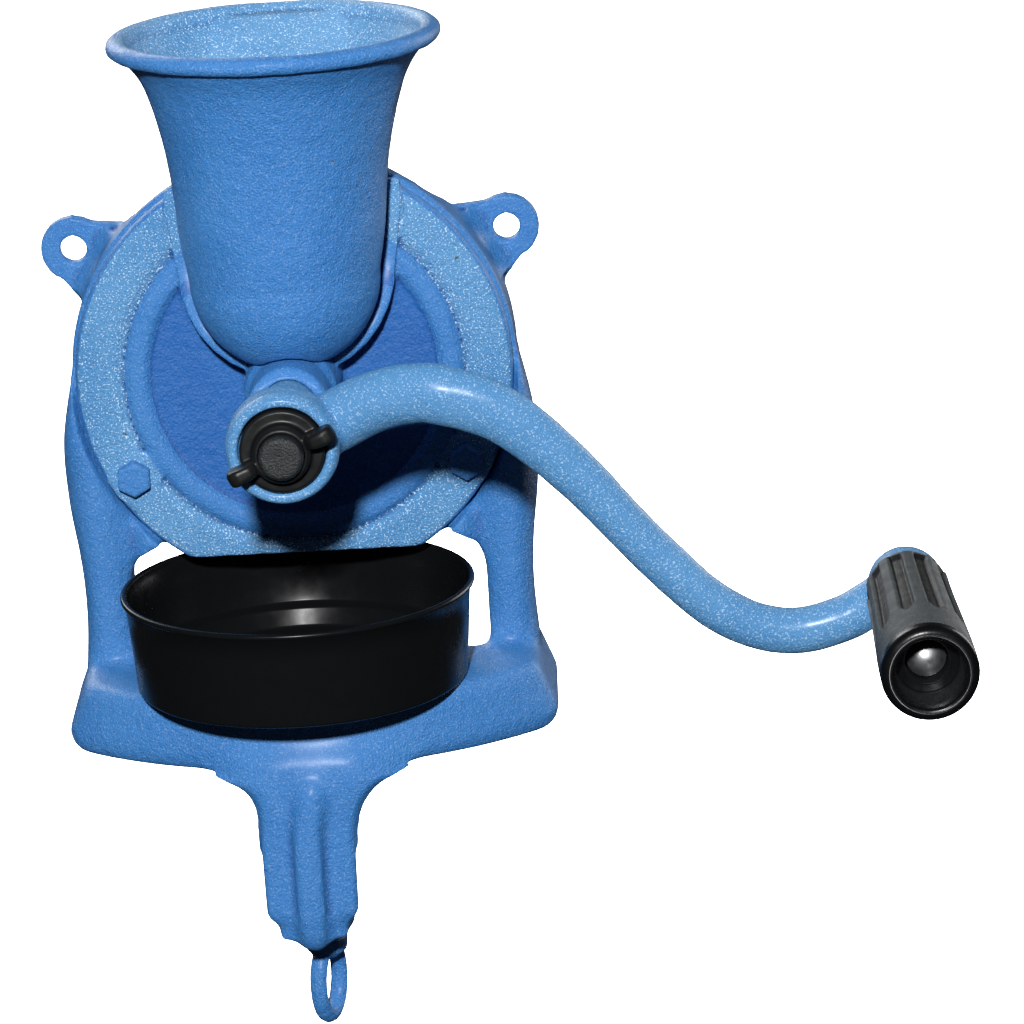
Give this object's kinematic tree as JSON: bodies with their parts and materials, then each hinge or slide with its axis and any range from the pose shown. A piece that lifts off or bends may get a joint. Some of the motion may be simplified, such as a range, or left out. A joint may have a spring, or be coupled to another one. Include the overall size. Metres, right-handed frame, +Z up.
{
  "type": "hand grain mill",
  "caption": "Hand-cranked burr grain mill in blue painted cast iron, with a flared hopper, an S-shaped crank with a black grip, a black meal cup and a table clamp.",
  "frame": {"origin": "on the clamp screw's axis, in the plane of the seat that rests on the table top", "axes": "+Z up along the clamp screw, -Y to the front (the crank, hub and grip point that way), +X to the right seen from the front; the crank shaft lies along Y"},
  "size_m": [0.3563, 0.2751, 0.4086],
  "materials": {
    "blue_casting": "glossy blue paint over a sand-cast grain",
    "blue_crank": "glossy lighter blue paint, smooth with fine speckle",
    "black_cup": "smooth gloss black",
    "black_grip": "moulded matte black",
    "black_nut": "satin black",
    "bright_steel": "plain steel",
    "bush_metal": "turned bronze",
    "bare_iron": "unpainted cast iron"
  },
  "bodies": {
    "frame": {"body_casting": "blue_casting", "front_cover": "blue_casting", "cover_bolt_left": "blue_casting", "cover_bolt_right": "blue_casting", "cover_bolt_top": "blue_casting", "fixed_burr": "bare_iron", "fixed_burr_screw_1": "bright_steel", "fixed_burr_screw_2": "bright_steel", "fixed_burr_screw_3": "bright_steel", "shaft_bush": "bush_metal"},
    "hopper": {"hopper": "blue_casting"},
    "cup": {"meal_cup": "black_cup"},
    "crank": {"crank_arm": "blue_crank", "grip_bolt": "bright_steel"},
    "shaft": {"main_shaft": "bright_steel", "feed_auger": "bare_iron", "auger_pin": "bright_steel", "burr_carrier": "bare_iron", "carrier_pin": "bright_steel", "rotating_burr": "bare_iron", "burr_screw_1": "bright_steel", "burr_screw_2": "bright_steel", "burr_screw_3": "bright_steel"},
    "wing_nut": {"wing_nut": "black_nut"},
    "grip": {"grip": "black_grip"},
    "clamp_pad": {"clamp_pad": "blue_casting"},
    "clamp_screw": {"clamp_screw": "bright_steel", "clamp_handle": "blue_casting"}
  },
  "joints": [
    {"name": "crank_spin", "type": "hinge", "parent": "frame", "child": "crank", "pos_m": [0, -0.056, 0.147], "axis": [0, 1, 0], "continuous": true},
    {"name": "grip_spin", "type": "hinge", "parent": "crank", "child": "grip", "pos_m": [0.236, -0.13, 0.08045], "axis": [0, 1, 0], "continuous": true},
    {"name": "wing_nut_turn", "type": "hinge", "parent": "crank", "child": "wing_nut", "pos_m": [0, -0.08, 0.147], "axis": [0, 1, 0], "range_deg": [-525, 75]},
    {"name": "shaft_draw", "type": "slide", "parent": "crank", "child": "shaft", "axis": [0, -1, 0], "range_m": [-0.0029, 0.0004]},
    {"name": "clamp_travel", "type": "slide", "parent": "frame", "child": "clamp_pad", "axis": [0, 0, -1], "range_m": [0, 0.0358]},
    {"name": "clamp_turn", "type": "hinge", "parent": "clamp_pad", "child": "clamp_screw", "pos_m": [0, 0, -0.05], "axis": [0, 0, -1], "range_deg": [0, 7380]},
    {"name": "cup_slide", "type": "slide", "parent": "frame", "child": "cup", "axis": [0, -1, 0], "range_m": [0, 0.12]},
    {"name": "hopper_lift", "type": "slide", "parent": "frame", "child": "hopper", "axis": [0, 0, 1], "range_m": [0, 0.06]}
  ],
  "couplings": [
    {"joint": "wing_nut_turn", "follows": "shaft_draw", "rad_per_m": 3141.6},
    {"joint": "clamp_turn", "follows": "clamp_travel", "rad_per_m": 3590.4}
  ]
}
